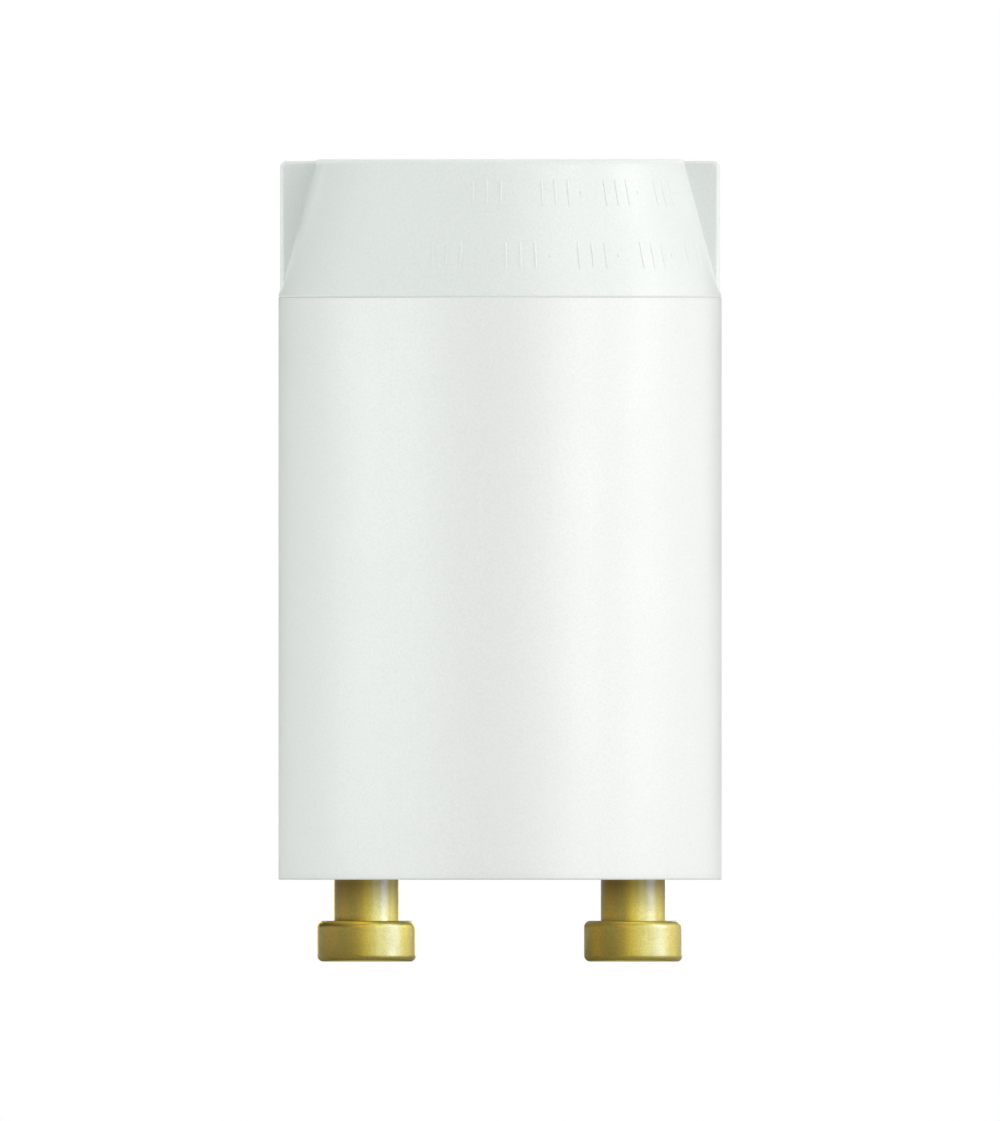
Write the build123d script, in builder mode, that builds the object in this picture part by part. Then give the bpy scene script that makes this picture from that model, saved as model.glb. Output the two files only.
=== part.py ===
from build123d import *
from math import cos, radians, sqrt, tan
import os

# Glow starter for fluorescent lamps
#
# A moulded can with a coned cap and two twist fins is closed from below by a base disc. The disc
# carries two turned contact pins, and above it stand a glow switch bulb and a capacitor, each wired
# to both pins.
#
# The starter stands on its pins. Z runs up the axis of the can and X through both pins. The origin is
# midway between the pins, on the plane that their heads stand on. All sizes are in millimetres.

# Contact pins. The pair at 12.7 is the standard one, and gave the scale of all the rest.
pin_spacing = 12.7
head_diameter = 4.7
head_height = 1.95
head_rounding = 0.3
neck_diameter = 3.1
neck_showing = 1.95
shank_diameter = 2.3
socket_diameter = 1.5
socket_depth = 2.4
peened_diameter = 3.0
peened_height = 0.3
peened_rounding = 0.12

# Can, from its open rim up to the parting line where the cap begins
rim_margin = 1.85
can_height = 27.75
can_wall = 0.95
rim_rounding = 0.06
parting_groove_depth = 0.05
parting_groove_reach = 0.06

# Cap: a cone with a flat top, and a fin on each side for twisting
cap_height = 6.55
cap_slope = 15.0
cap_wall = 1.1
cap_rounding = 0.25
fin_inset = 0.09
fin_thickness = 2.4
fin_drop = 0.08
fin_corner_radius = 0.3
fin_edge_radius = 0.18
gate_diameter = 2.2
gate_depth = 0.2

# Mouth of the can, which takes the base disc
mouth_wall = 0.8
mouth_chamfer = 0.2
base_recess = 0.35
key_width = 2.0
key_depth = 0.75
fit_gap = 0.05

# Base disc
base_thickness = 1.6
skirt_height = 3.4
skirt_wall = 0.75
slot_count = 8
slot_width = 1.2
lug_count = 4
lug_arc = 30.0
lug_height = 1.0
lug_reach = 0.2
lug_lift = 0.7
boss_wall = 0.95
boss_height = 1.7
rib_thickness = 1.0

# Wires
lead_diameter = 0.5
lead_bend_radius = 0.8
lead_rise = 1.5
lead_pair_gap = 0.16
lead_end_gap = 0.3
solder_dome_diameter = 2.4
solder_dome_height = 0.55

# Glow switch
bulb_clearance = 1.4
bulb_past_axis = 0.4
bulb_length = 19.5
bulb_wall = 0.55
bulb_foot_rounding = 0.3
tip_diameter = 1.9
tip_length = 1.6
flange_thickness = 1.0
press_width = 4.8
press_thickness = 1.9
press_height = 3.0
press_rounding = 0.4
post_pitch = 2.8
post_height = 2.4
strip_thickness = 0.25
strip_width = 2.2
strip_height = 9.5
strip_free_leg = 7.5
contact_gap = 0.55
weld_gap = 0.4
electrode_thickness = 0.3
electrode_width = 1.8
electrode_height = 7.5

# Capacitor
capacitor_clearance = 2.8
capacitor_corner_clearance = 1.28
capacitor_bulb_gap = 2.0
capacitor_height = 9.0
capacitor_flat = 1.2
capacitor_lead_inset = 1.05
capacitor_lead_depth = 1.4

# Radii
head_radius = head_diameter / 2
neck_radius = neck_diameter / 2
shank_radius = shank_diameter / 2
socket_radius = socket_diameter / 2
peened_radius = peened_diameter / 2
can_radius = pin_spacing / 2 + head_radius + rim_margin
fin_span = 2 * (can_radius - fin_inset)
bore_radius = can_radius - can_wall
mouth_radius = can_radius - mouth_wall
base_radius = mouth_radius - fit_gap
skirt_radius = base_radius - skirt_wall
boss_radius = shank_radius + boss_wall
lead_radius = lead_diameter / 2
bulb_radius = (bore_radius - bulb_clearance + bulb_past_axis) / 2
bulb_bore_radius = bulb_radius - bulb_wall

# Capacitor, between the bulb and the front of the can
capacitor_back_y = -bulb_past_axis - capacitor_bulb_gap
capacitor_front_y = capacitor_clearance - bore_radius
capacitor_offset = (capacitor_back_y + capacitor_front_y) / 2
capacitor_thickness = capacitor_back_y - capacitor_front_y
capacitor_width = 2 * sqrt((bore_radius - capacitor_corner_clearance) ** 2 - capacitor_front_y**2)
capacitor_corner = (capacitor_thickness - capacitor_flat) / 2
capacitor_rounding = 0.75 * capacitor_corner
capacitor_lead_x = capacitor_width / 2 - capacitor_lead_inset

# Levels above the plane that the pins stand on
rim_level = head_height + neck_showing
base_level = rim_level + base_recess
floor_level = base_level + base_thickness
boss_level = floor_level + boss_height
pin_top_level = boss_level + peened_height
socket_level = pin_top_level - socket_depth
skirt_level = base_level + skirt_height
ledge_level = skirt_level + fit_gap
lug_level = base_level + lug_lift
parting_level = rim_level + can_height
top_level = parting_level + cap_height
fin_level = top_level - fin_drop
lead_run_level = pin_top_level + lead_rise
rest_level = lead_run_level + lead_bend_radius + lead_radius
press_level = rest_level + flange_thickness + press_height
bulb_dome_level = rest_level + bulb_length - bulb_radius
bulb_top_level = rest_level + bulb_length
weld_level = press_level + weld_gap
post_top_level = press_level + post_height

# Places in plan
pin_x = pin_spacing / 2
post_x = post_pitch / 2
bulb_offset = bulb_radius - bulb_past_axis
lead_in_pin_y = lead_radius + lead_pair_gap / 2
left, right = -1, 1


def cone_radius(level):
    """Outer radius of the cap's cone at a level."""
    return can_radius - (level - parting_level) * tan(radians(cap_slope))


def upright_plane(x=0.0, y=0.0):
    """Plane facing the front, with its own y axis up, through a point in plan."""
    return Plane((x, y, 0), (1, 0, 0), (0, -1, 0))


# Housing: can, cap and fins in one moulding
cap_top_radius = cone_radius(top_level)
cap_wall_across = cap_wall / cos(radians(cap_slope))
ceiling_level = top_level - cap_wall
ceiling_radius = cone_radius(ceiling_level) - cap_wall_across
shoulder_drop = (cap_wall_across - can_wall) / tan(radians(cap_slope))
shoulder_level = parting_level - shoulder_drop
groove_reach = parting_groove_reach
groove_top_level = parting_level + groove_reach
key_inner_radius = mouth_radius - key_depth

with BuildPart() as fins:
    with BuildSketch(Plane.XZ):
        with Locations((0, (fin_level + groove_top_level) / 2)):
            Rectangle(fin_span, fin_level - groove_top_level)
    extrude(amount=fin_thickness / 2, both=True)
    upright_corners = fins.edges().filter_by(Axis.Y).group_by(Axis.Z)[-1]
    fillet(upright_corners, fin_corner_radius)
    outline = fins.faces().filter_by(Axis.Y).edges()
    fillet(outline - outline.group_by(Axis.Z)[0], fin_edge_radius)

with BuildPart() as housing:
    # Outer form: can, parting line and cone
    with BuildSketch(Plane.XZ):
        with BuildLine():
            Polyline(
                (0, rim_level),
                (can_radius, rim_level),
                (can_radius, parting_level - groove_reach),
                (can_radius - parting_groove_depth, parting_level),
                (cone_radius(groove_top_level), groove_top_level),
                (cap_top_radius, top_level),
                (0, top_level),
                close=True,
            )
        make_face()
    revolve(axis=Axis.Z)
    fillet(housing.edges().group_by(Axis.Z)[-1], cap_rounding)
    fillet(housing.edges().group_by(Axis.Z)[0], rim_rounding)
    add(fins.part)

    # Hollow: mouth for the base disc, ledge that stops it, bore and the inside of the cone
    with BuildSketch(Plane.XZ):
        with BuildLine():
            Polyline(
                (0, rim_level),
                (mouth_radius + mouth_chamfer, rim_level),
                (mouth_radius, rim_level + mouth_chamfer),
                (mouth_radius, ledge_level),
                (bore_radius, ledge_level),
                (bore_radius, shoulder_level),
                (ceiling_radius, ceiling_level),
                (0, ceiling_level),
                close=True,
            )
        make_face()
    revolve(axis=Axis.Z, mode=Mode.SUBTRACT)

    # Ring groove inside the mouth for the snap lugs of the base disc
    with BuildSketch(Plane.XZ):
        with BuildLine():
            Polyline(
                (mouth_radius - fit_gap, lug_level - fit_gap),
                (mouth_radius + lug_reach, lug_level - fit_gap),
                (mouth_radius - fit_gap, lug_level + lug_height + fit_gap),
                close=True,
            )
        make_face()
    revolve(axis=Axis.Z, mode=Mode.SUBTRACT)

    # Two keys in the mouth, front and back, that turn the base disc with the can
    with BuildSketch(Plane.XY.offset(base_level)):
        with PolarLocations(key_inner_radius + mouth_wall, 2, start_angle=90):
            Rectangle(2 * mouth_wall, key_width)
        Circle(mouth_radius + mouth_wall / 2, mode=Mode.INTERSECT)
    extrude(until=Until.NEXT)

    # Mark of the moulding gate
    with BuildSketch(Plane.XY.offset(top_level)):
        Circle(gate_diameter / 2)
    extrude(amount=-gate_depth, mode=Mode.SUBTRACT)
housing.part.label = "housing"


# Base disc
with BuildPart() as base_disc:
    with BuildSketch(Plane.XZ):
        with BuildLine():
            Polyline(
                (0, base_level),
                (base_radius, base_level),
                (base_radius, skirt_level),
                (skirt_radius, skirt_level),
                (skirt_radius, floor_level),
                (0, floor_level),
                close=True,
            )
        make_face()
    revolve(axis=Axis.Z)

    # Snap lugs, each on a tongue between two slots of the skirt
    for number in range(lug_count):
        lug_start = (number + 0.5) * 360 / lug_count - lug_arc / 2
        with BuildSketch(Plane.XZ.rotated((0, 0, lug_start))):
            with BuildLine():
                Polyline(
                    (skirt_radius + fit_gap, lug_level),
                    (base_radius + lug_reach, lug_level),
                    (base_radius, lug_level + lug_height),
                    (skirt_radius + fit_gap, lug_level + lug_height),
                    close=True,
                )
            make_face()
        revolve(axis=Axis.Z, revolution_arc=lug_arc)
    with BuildSketch(Plane.XY.offset(floor_level)):
        skirt_middle = skirt_radius + skirt_wall / 2
        with PolarLocations(skirt_middle, slot_count, start_angle=180 / slot_count):
            Rectangle(2 * skirt_wall, slot_width)
    extrude(amount=skirt_height, mode=Mode.SUBTRACT)

    # Bosses under the peened ends of the pins, and the insulating rib that the bulb stands on
    with BuildSketch(Plane.XY.offset(floor_level)):
        with Locations((-pin_x, 0), (pin_x, 0)):
            Circle(boss_radius)
    extrude(amount=boss_height)
    with BuildSketch(Plane.XY.offset(floor_level)):
        Rectangle(rib_thickness, 2 * skirt_radius + skirt_wall)
    extrude(amount=rest_level - floor_level)

    # Keyways, pin holes and the mark of the moulding gate
    with BuildSketch(Plane.XY.offset(base_level)):
        with PolarLocations(key_inner_radius - fit_gap + mouth_wall, 2, start_angle=90):
            Rectangle(2 * mouth_wall, key_width + 2 * fit_gap)
    extrude(amount=rest_level - base_level, mode=Mode.SUBTRACT)
    with BuildSketch(Plane.XY.offset(base_level)):
        with Locations((-pin_x, 0), (pin_x, 0)):
            Circle(shank_radius)
    extrude(amount=boss_level - base_level, mode=Mode.SUBTRACT)
    with BuildSketch(Plane.XY.offset(base_level)):
        Circle(gate_diameter / 2)
    extrude(amount=gate_depth, mode=Mode.SUBTRACT)
base_disc.part.label = "base_disc"


# Contact pins, turned from brass and peened over the bosses
def contact_pin(side):
    """One pin: head, neck, shank through the base disc, and a blind socket for the leads."""
    x = side * pin_x
    with BuildPart() as pin:
        with BuildSketch(upright_plane(x)):
            with BuildLine():
                Polyline(
                    (0, 0),
                    (head_radius, 0),
                    (head_radius, head_height),
                    (neck_radius, head_height),
                    (neck_radius, base_level),
                    (shank_radius, base_level),
                    (shank_radius, boss_level),
                    (peened_radius, boss_level),
                    (peened_radius, pin_top_level),
                    (socket_radius, pin_top_level),
                    (socket_radius, socket_level),
                    (0, socket_level),
                    close=True,
                )
            make_face()
        revolve(axis=Axis((x, 0, 0), (0, 0, 1)))
        circles = pin.edges().filter_by(GeomType.CIRCLE)
        fillet(circles.filter_by(lambda edge: edge.radius > neck_radius), head_rounding)
        peened_end = pin.edges().filter_by(GeomType.CIRCLE).group_by(Axis.Z)[-1]
        fillet(peened_end.sort_by(SortBy.RADIUS)[-1], peened_rounding)
    pin.part.label = "contact_pin_left" if side == left else "contact_pin_right"
    return pin.part


pins = {side: contact_pin(side) for side in (left, right)}


# Wires
def lead(side, name, start):
    """A round wire from a start point straight down, across, and down into the pin's socket."""
    start_x, start_y, start_level = start
    pin_y = lead_in_pin_y if start_y > 0 else -lead_in_pin_y
    with BuildPart() as wire:
        with BuildLine():
            FilletPolyline(
                (side * start_x, start_y, start_level),
                (side * start_x, start_y, lead_run_level),
                (side * pin_x, pin_y, lead_run_level),
                (side * pin_x, pin_y, socket_level + lead_end_gap),
                radius=lead_bend_radius,
            )
        with BuildSketch(Plane((side * start_x, start_y, start_level), z_dir=(0, 0, -1))):
            Circle(lead_radius)
        sweep()
    wire.part.label = name + ("_left" if side == left else "_right")
    return wire.part


bulb_post_top = (post_x, bulb_offset, post_top_level)
capacitor_lead_top = (capacitor_lead_x, capacitor_offset, rest_level + capacitor_lead_depth)
bulb_leads = {side: lead(side, "bulb_lead", bulb_post_top) for side in (left, right)}
capacitor_leads = {side: lead(side, "capacitor_lead", capacitor_lead_top) for side in (left, right)}


def solder(side):
    """Solder that fills the pin's socket round both leads and domes over its end."""
    x = side * pin_x
    dome_radius = solder_dome_diameter / 2
    with BuildPart() as fill:
        with BuildSketch(upright_plane(x)):
            with BuildLine():
                Polyline(
                    (0, pin_top_level + solder_dome_height),
                    (0, socket_level),
                    (socket_radius, socket_level),
                    (socket_radius, pin_top_level),
                    (dome_radius, pin_top_level),
                )
                TangentArc(
                    (0, pin_top_level + solder_dome_height),
                    (dome_radius, pin_top_level),
                    tangent=(1, 0),
                )
            make_face()
        revolve(axis=Axis((x, 0, 0), (0, 0, 1)))
        add(bulb_leads[side], mode=Mode.SUBTRACT)
        add(capacitor_leads[side], mode=Mode.SUBTRACT)
    fill.part.label = "solder_left" if side == left else "solder_right"
    return fill.part


solders = {side: solder(side) for side in (left, right)}


# Glow switch: glass envelope, stem, bimetal strip and fixed electrode
bulb_axis = Axis((0, bulb_offset, 0), (0, 0, 1))
tip_radius = tip_diameter / 2

with BuildPart() as glow_bulb_envelope:
    with BuildSketch(upright_plane(0, bulb_offset)):
        with BuildLine():
            Polyline((0, rest_level), (bulb_radius, rest_level), (bulb_radius, bulb_dome_level))
            dome = CenterArc((0, bulb_dome_level), bulb_radius, 0, 90)
            Line(dome @ 1, (0, rest_level))
        make_face()
        with Locations((tip_radius / 2, bulb_top_level)):
            Rectangle(tip_radius, 2 * tip_length)
    revolve(axis=bulb_axis)
    fillet(glow_bulb_envelope.edges().group_by(Axis.Z)[-1], tip_radius * 0.8)
    fillet(glow_bulb_envelope.edges().group_by(Axis.Z)[0], bulb_foot_rounding)
    with BuildSketch(upright_plane(0, bulb_offset)):
        with BuildLine():
            Polyline(
                (0, rest_level),
                (bulb_bore_radius, rest_level),
                (bulb_bore_radius, bulb_dome_level),
            )
            inner_dome = CenterArc((0, bulb_dome_level), bulb_bore_radius, 0, 90)
            Line(inner_dome @ 1, (0, rest_level))
        make_face()
    revolve(axis=bulb_axis, mode=Mode.SUBTRACT)
glow_bulb_envelope.part.label = "glow_bulb_envelope"

with BuildPart() as glow_bulb_stem:
    with BuildSketch(Plane.XY.offset(rest_level)):
        with Locations((0, bulb_offset)):
            Circle(bulb_bore_radius)
    extrude(amount=flange_thickness)
    with BuildSketch(Plane.XY.offset(rest_level + flange_thickness)):
        with Locations((0, bulb_offset)):
            SlotOverall(press_width, press_thickness)
    extrude(amount=press_height)
    fillet(glow_bulb_stem.edges().group_by(Axis.Z)[-1], press_rounding)
    for side in (left, right):
        add(bulb_leads[side], mode=Mode.SUBTRACT)
glow_bulb_stem.part.label = "glow_bulb_stem"

post_clearance = 2 * (post_x - lead_radius)
strip_bend_radius = (post_clearance - contact_gap - strip_thickness) / 2
strip_x = -post_x + lead_radius + strip_thickness / 2
strip_bend_level = weld_level + strip_height - strip_bend_radius

with BuildPart() as bimetal_strip:
    with BuildSketch(upright_plane(0, bulb_offset)):
        with BuildLine():
            Line((strip_x, weld_level), (strip_x, strip_bend_level))
            bend_middle = (strip_x + strip_bend_radius, strip_bend_level)
            bend = CenterArc(bend_middle, strip_bend_radius, 180, -180)
            Line(bend @ 1, bend @ 1 - (0, strip_free_leg))
        trace(line_width=strip_thickness)
    extrude(amount=strip_width / 2, both=True)
bimetal_strip.part.label = "bimetal_strip"

electrode_x = post_x + lead_radius + electrode_thickness / 2

with BuildPart() as fixed_electrode:
    with BuildSketch(upright_plane(0, bulb_offset)):
        with Locations((electrode_x, weld_level + electrode_height / 2)):
            Rectangle(electrode_thickness, electrode_height)
    extrude(amount=electrode_width / 2, both=True)
fixed_electrode.part.label = "fixed_electrode"


# Capacitor, dipped and sealed
with BuildPart() as capacitor:
    with BuildSketch(Plane.XY.offset(rest_level)):
        with Locations((0, capacitor_offset)):
            RectangleRounded(capacitor_width, capacitor_thickness, capacitor_corner)
    extrude(amount=capacitor_height)
    fillet(capacitor.edges().group_by(Axis.Z)[-1], capacitor_rounding)
    fillet(capacitor.edges().group_by(Axis.Z)[0], capacitor_rounding)
    for side in (left, right):
        add(capacitor_leads[side], mode=Mode.SUBTRACT)
capacitor.part.label = "capacitor"


pieces = [
    housing.part,
    base_disc.part,
    *pins.values(),
    *bulb_leads.values(),
    *capacitor_leads.values(),
    *solders.values(),
    glow_bulb_envelope.part,
    glow_bulb_stem.part,
    bimetal_strip.part,
    fixed_electrode.part,
    capacitor.part,
]
os.makedirs("parts", exist_ok=True)
for piece in pieces:
    export_step(piece, f"parts/{piece.label}.step")
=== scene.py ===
"""Looks of a fluorescent starter: white moulded can with twist fins, on two brass contact pins."""

import math

import bmesh
import bpy
from bpy.props import FloatProperty, FloatVectorProperty, PointerProperty
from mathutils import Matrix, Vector


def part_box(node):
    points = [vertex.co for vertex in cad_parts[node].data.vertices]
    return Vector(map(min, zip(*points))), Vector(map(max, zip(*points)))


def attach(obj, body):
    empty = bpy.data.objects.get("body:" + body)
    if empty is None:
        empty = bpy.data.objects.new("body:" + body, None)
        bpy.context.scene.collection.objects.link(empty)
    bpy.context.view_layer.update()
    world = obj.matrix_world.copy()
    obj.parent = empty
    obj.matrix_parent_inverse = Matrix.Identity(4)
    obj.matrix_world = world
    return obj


bl_info = {
    "name": "Fluorescent starter",
    "version": (1, 0, 0),
    "blender": (4, 5, 0),
    "location": "3D View > Sidebar > Starter",
    "description": "Dresses the frame of a fluorescent starter and sets up its studio",
    "category": "Object",
}

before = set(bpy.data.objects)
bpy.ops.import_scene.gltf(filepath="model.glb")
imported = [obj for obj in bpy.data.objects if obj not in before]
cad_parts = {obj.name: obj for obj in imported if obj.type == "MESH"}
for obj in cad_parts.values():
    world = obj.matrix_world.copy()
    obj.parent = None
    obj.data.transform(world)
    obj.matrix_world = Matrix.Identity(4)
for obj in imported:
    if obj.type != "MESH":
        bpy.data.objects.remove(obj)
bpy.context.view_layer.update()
HOUSING_LOW, HOUSING_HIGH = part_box("housing")
PIN_LOW, PIN_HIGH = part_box("contact_pin_right")

# Sizes in metres. The starter stands on its pins, with Z up the can and X through both pins.
CAN_RADIUS = HOUSING_HIGH.x
RIM_LEVEL = HOUSING_LOW.z
TOP_LEVEL = HOUSING_HIGH.z
PIN_X = (PIN_LOW.x + PIN_HIGH.x) / 2
HEAD_RADIUS = (PIN_HIGH.x - PIN_LOW.x) / 2
HEAD_HEIGHT = 0.00195
PARTING_LEVEL = 0.03165
CAP_SLOPE = math.radians(15)
FIN_HALF_THICKNESS = 0.0012


# Settings


class StarterPlastic(bpy.types.PropertyGroup):
    """White moulded plastic of the can and the base disc"""

    white: FloatVectorProperty(
        name="White",
        description="Colour of the can",
        subtype="COLOR",
        min=0,
        max=1,
        default=(0.80, 0.82, 0.79),
    )
    cap_white: FloatVectorProperty(
        name="Cap white",
        description="Colour of the coned cap and its fins",
        subtype="COLOR",
        min=0,
        max=1,
        default=(0.765, 0.80, 0.775),
    )
    base_white: FloatVectorProperty(
        name="Base white",
        description="Colour of the base disc",
        subtype="COLOR",
        min=0,
        max=1,
        default=(0.74, 0.75, 0.71),
    )
    roughness: FloatProperty(
        name="Roughness",
        description="Roughness of the satin surface",
        default=0.36,
        min=0,
        max=1,
    )
    grain_size: FloatProperty(
        name="Grain size",
        description="Size of the fine grain that the mould leaves",
        default=0.00011,
        min=0.00002,
        max=0.002,
        unit="LENGTH",
    )


class StarterMarks(bpy.types.PropertyGroup):
    """Raised plain bars and dots on the cap"""

    bar_width: FloatProperty(
        name="Bar width",
        description="Width of one raised bar",
        default=0.00015,
        min=0.00005,
        max=0.002,
        unit="LENGTH",
    )
    bar_length: FloatProperty(
        name="Bar length",
        description="Length of one raised bar along the slope",
        default=0.0016,
        min=0.0002,
        max=0.004,
        unit="LENGTH",
    )
    relief: FloatProperty(
        name="Relief",
        description="How far a bar stands out of the cap",
        default=0.00003,
        min=0.00001,
        max=0.0003,
        unit="LENGTH",
    )
    pitch: FloatProperty(
        name="Pitch",
        description="Angle from one bar to the next",
        default=math.radians(4.1),
        min=math.radians(2),
        max=math.radians(30),
        subtype="ANGLE",
    )


class StarterBrass(bpy.types.PropertyGroup):
    """Turned brass of the contact pins"""

    brass: FloatVectorProperty(
        name="Brass",
        description="Colour of the pins",
        subtype="COLOR",
        min=0,
        max=1,
        default=(0.63, 0.505, 0.118),
    )
    roughness: FloatProperty(
        name="Roughness",
        description="Roughness of the turned surface",
        default=0.46,
        min=0,
        max=1,
    )
    turning_pitch: FloatProperty(
        name="Turning pitch",
        description="Distance between the fine rings that the lathe leaves",
        default=0.00006,
        min=0.00001,
        max=0.001,
        unit="LENGTH",
    )
    grain_size: FloatProperty(
        name="Grain size",
        description="Size of the fine grain of the metal",
        default=0.00009,
        min=0.00002,
        max=0.002,
        unit="LENGTH",
    )


class StarterInside(bpy.types.PropertyGroup):
    """Glow bulb, capacitor and wires inside the can"""

    glass: FloatVectorProperty(
        name="Glass",
        description="Colour of the clear bulb",
        subtype="COLOR",
        min=0,
        max=1,
        default=(0.93, 0.97, 0.95),
    )
    resin: FloatVectorProperty(
        name="Resin",
        description="Colour of the dipped capacitor",
        subtype="COLOR",
        min=0,
        max=1,
        default=(0.42, 0.12, 0.03),
    )
    wire: FloatVectorProperty(
        name="Lead wire",
        description="Colour of the wires of the bulb",
        subtype="COLOR",
        min=0,
        max=1,
        default=(0.52, 0.42, 0.36),
    )
    bimetal: FloatVectorProperty(
        name="Bimetal",
        description="Colour of the bent strip in the bulb",
        subtype="COLOR",
        min=0,
        max=1,
        default=(0.55, 0.53, 0.50),
    )
    nickel: FloatVectorProperty(
        name="Nickel",
        description="Colour of the fixed electrode",
        subtype="COLOR",
        min=0,
        max=1,
        default=(0.62, 0.60, 0.56),
    )
    tin: FloatVectorProperty(
        name="Tin",
        description="Colour of the tinned wires and of the solder",
        subtype="COLOR",
        min=0,
        max=1,
        default=(0.70, 0.71, 0.72),
    )


class StarterStage(bpy.types.PropertyGroup):
    """Camera, floor and light"""

    picture_height: FloatProperty(
        name="Picture height",
        description="Height that the camera sees",
        default=0.05337,
        min=0.01,
        max=1,
        unit="LENGTH",
    )
    picture_middle: FloatProperty(
        name="Picture middle",
        description="Level above the floor that the camera aims at",
        default=0.0191,
        min=0,
        max=0.1,
        unit="LENGTH",
    )
    ambient: FloatProperty(
        name="Ambient light",
        description="Strength of the even light from all round",
        default=0.2,
        min=0,
        max=2,
    )
    plastic_light: FloatProperty(
        name="Plastic light",
        description="Strength of the lamps that light all but the pins",
        default=0.965,
        min=0,
        max=10,
    )
    brass_light: FloatProperty(
        name="Brass light",
        description="Strength of the lamps that light only the pins",
        default=1.04,
        min=0,
        max=10,
    )


GROUPS = {
    "starter_plastic": StarterPlastic,
    "starter_marks": StarterMarks,
    "starter_brass": StarterBrass,
    "starter_inside": StarterInside,
    "starter_stage": StarterStage,
}


# Nodes


def feed(tree, socket, value):
    """Links an input to a socket, or sets it to a plain value."""
    if isinstance(value, bpy.types.NodeSocket):
        tree.links.new(value, socket)
    else:
        socket.default_value = value


def fill(tree, node, **inputs):
    """Feeds a node's inputs by name, with an underscore for a space. Returns the node."""
    for name, value in inputs.items():
        feed(tree, node.inputs[name.replace("_", " ")], value)
    return node


def wired(tree, kind, **inputs):
    """New node with its inputs fed by name. Returns the node."""
    return fill(tree, tree.nodes.new(kind), **inputs)


def grouped(tree, group, **inputs):
    """New node that places a shader group in a tree. Returns its outputs."""
    node = tree.nodes.new("ShaderNodeGroup")
    node.node_tree = group
    return fill(tree, node, **inputs).outputs


def math_node(tree, operation, first, second=None):
    """Math node on sockets or plain numbers. Returns its output."""
    node = tree.nodes.new("ShaderNodeMath")
    node.operation = operation
    feed(tree, node.inputs[0], first)
    if second is not None:
        feed(tree, node.inputs[1], second)
    return node.outputs[0]


def product(tree, first, *others):
    """Product of sockets or plain numbers. Returns its output."""
    for other in others:
        first = math_node(tree, "MULTIPLY", first, other)
    return first


def map_range(tree, value, low, high, to_low=0.0, to_high=1.0):
    """Clamped change of range. Returns its output."""
    node = wired(
        tree,
        "ShaderNodeMapRange",
        Value=value,
        From_Min=low,
        From_Max=high,
        To_Min=to_low,
        To_Max=to_high,
    )
    return node.outputs["Result"]


def noise(tree, place, scale, detail, roughness=0.5):
    """Noise texture with the given number of features a metre. Returns its output."""
    node = wired(
        tree, "ShaderNodeTexNoise", Vector=place, Scale=scale, Detail=detail, Roughness=roughness
    )
    return node.outputs["Fac"]


def object_place(tree):
    """Object coordinates. Returns their output."""
    return tree.nodes.new("ShaderNodeTexCoord").outputs["Object"]


def parts_of(tree, place):
    """Outputs of the X, Y and Z of a place."""
    parts = wired(tree, "ShaderNodeSeparateXYZ", Vector=place).outputs
    return parts["X"], parts["Y"], parts["Z"]


def mix_colours(tree, factor, first, second):
    """Mix of two colours, each a socket or a plain colour. Returns its output."""
    node = fill(tree, tree.nodes.new("ShaderNodeMix"), Factor=factor)
    node.data_type = "RGBA"
    for name, value in (("A", first), ("B", second)):
        socket = next(s for s in node.inputs if s.name == name and s.type == "RGBA")
        feed(tree, socket, (*value, 1) if isinstance(value, tuple) else value)
    return next(s for s in node.outputs if s.type == "RGBA")


def bump(tree, height, depth):
    """Relief of the given depth, in metres. Returns the normal's output."""
    return wired(tree, "ShaderNodeBump", Height=height, Distance=depth).outputs["Normal"]


def scaled(colour, factor):
    """Colour made darker or lighter."""
    return tuple(min(1.0, part * factor) for part in colour)


def tinted(colour, tint):
    """Colour with only a share left of its red, green and blue."""
    return tuple(part * share for part, share in zip(colour, tint))


def new_material(name):
    """Material with one Principled BSDF. Returns the material, its tree and the shader."""
    material = bpy.data.materials.new(name)
    material.use_nodes = True
    return material, material.node_tree, material.node_tree.nodes["Principled BSDF"]


# Shader groups that several finishes share

# Features a metre in their coarser patterns
CLOUDS = 160.0
TARNISH_SPOTS = 900.0
HEAT_SPOTS = 700.0
# Size of the relief's grain against that of the speckle
RELIEF_SCALE = 0.6
# Scale of the streaks along the metal, against that across it
STREAK_SCALE = 0.06
# Change of a ring's pattern for each radian round its axis
RING_DRIFT = 0.15


def node_group(name, inputs, outputs):
    """New shader group with value inputs, given with their defaults, and value outputs."""
    group = bpy.data.node_groups.new(name, "ShaderNodeTree")
    for socket, default in inputs.items():
        made = group.interface.new_socket(socket, in_out="INPUT", socket_type="NodeSocketFloat")
        made.default_value = default
    for socket in outputs:
        group.interface.new_socket(socket, in_out="OUTPUT", socket_type="NodeSocketFloat")
    return group, group.nodes.new("NodeGroupInput").outputs, group.nodes.new("NodeGroupOutput")


def moulded_grain():
    """Speckle and fine relief of a grained surface, and its slow unevenness."""
    name = "Moulded grain"
    if name in bpy.data.node_groups:
        return bpy.data.node_groups[name]
    group, given, result = node_group(name, {"Grain size": 0.0001}, ("Speckle", "Height", "Cloud"))
    place = object_place(group)
    scale = math_node(group, "DIVIDE", 1.0, given["Grain size"])
    relief_scale = product(group, scale, RELIEF_SCALE)
    speckle = noise(group, place, scale, detail=2.0, roughness=0.6)
    cloud = noise(group, place, CLOUDS, detail=3.0)
    fill(
        group,
        result,
        Speckle=map_range(group, speckle, 0.3, 0.7),
        Height=noise(group, place, relief_scale, detail=3.0, roughness=0.55),
        Cloud=map_range(group, cloud, 0.3, 0.7),
    )
    return group


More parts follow.
